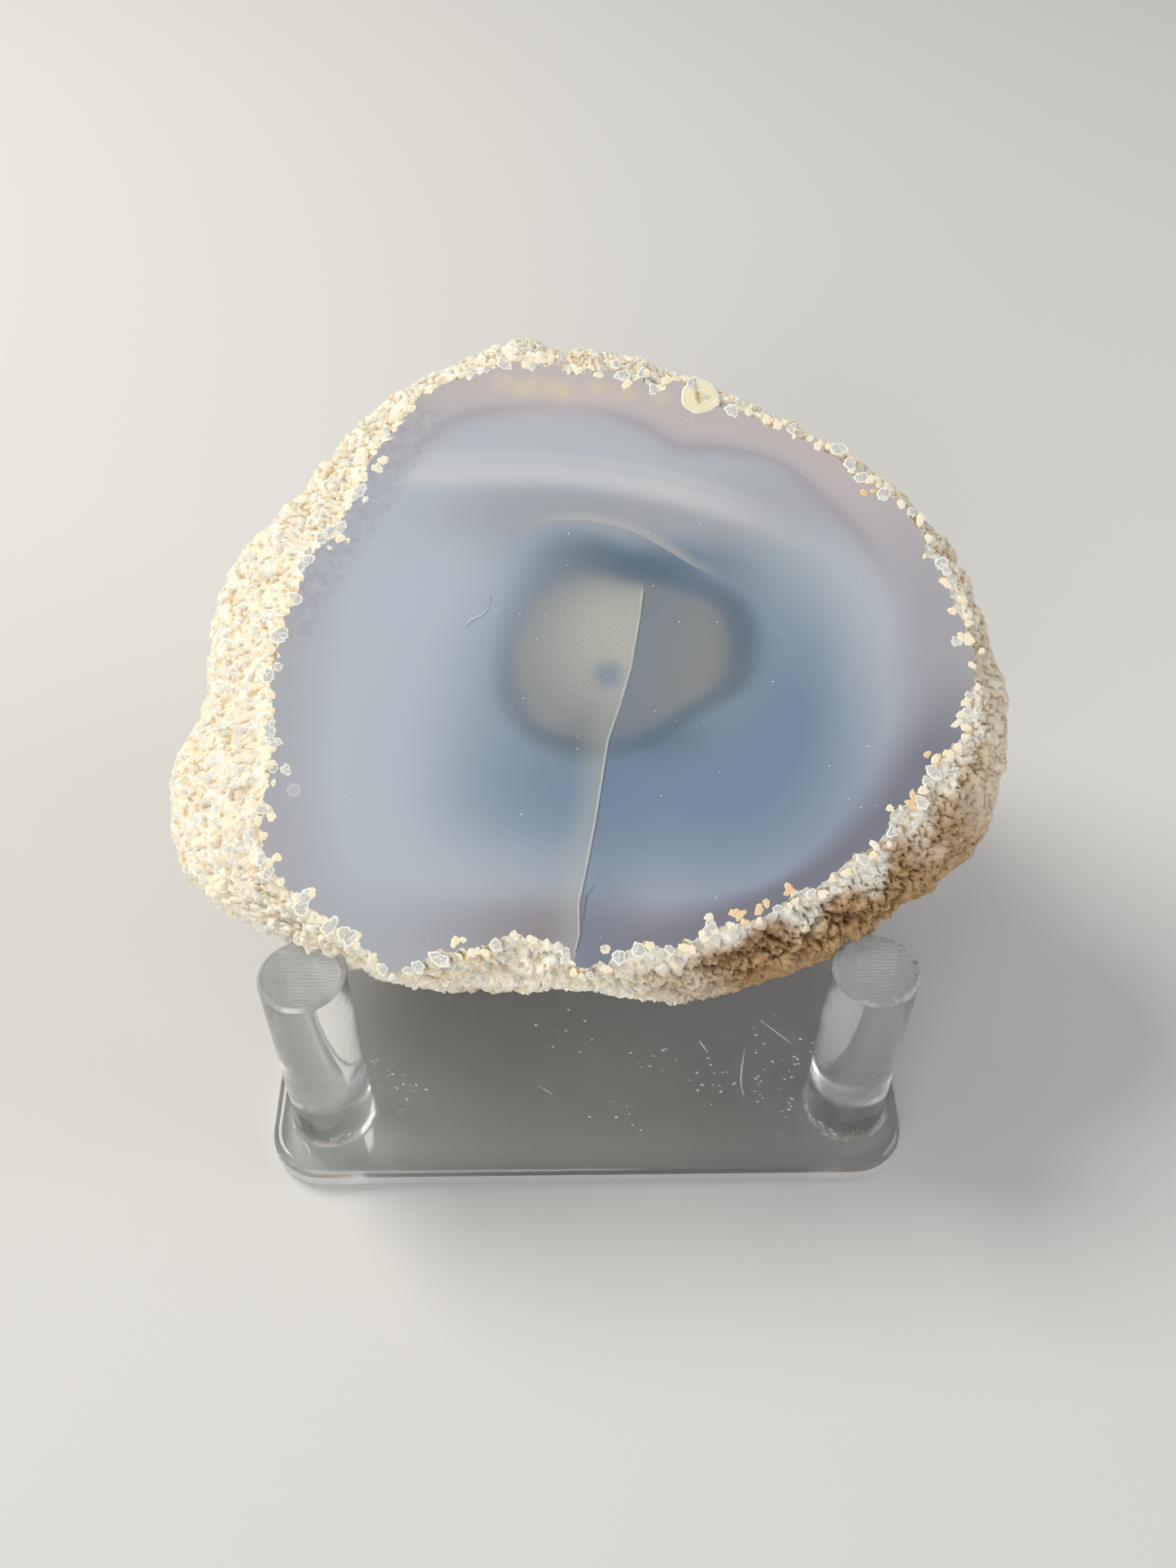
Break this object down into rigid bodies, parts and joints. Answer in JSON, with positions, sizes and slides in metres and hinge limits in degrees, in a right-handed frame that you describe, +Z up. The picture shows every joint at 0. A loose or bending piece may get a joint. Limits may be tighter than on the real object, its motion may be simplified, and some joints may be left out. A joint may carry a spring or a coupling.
{
  "type": "polished agate nodule half on a peg stand",
  "caption": "Half of a natural grey-blue banded agate nodule with a polished face and a rough drusy rind, resting tilted among the pegs of a clear acrylic display stand.",
  "frame": {"origin": "middle of the underside of the stand's plate", "axes": "+X to the viewer's right along the plate's front edge, +Y away from the viewer, +Z up; the polished face looks up and towards the viewer, 30 degrees from level"},
  "size_m": [0.1299, 0.1084, 0.0923],
  "materials": {
    "agate": "sawn face polished to a gloss, rind left rough, cream and crystalline",
    "clear_acrylic": "clear cast acrylic, flame-polished edges, fine scratches"
  },
  "bodies": {
    "root": {"agate_nodule": "agate", "stand_base": "clear_acrylic", "peg_front_left": "clear_acrylic", "peg_front_right": "clear_acrylic", "peg_rear_left": "clear_acrylic", "peg_rear_right": "clear_acrylic"}
  },
  "joints": []
}
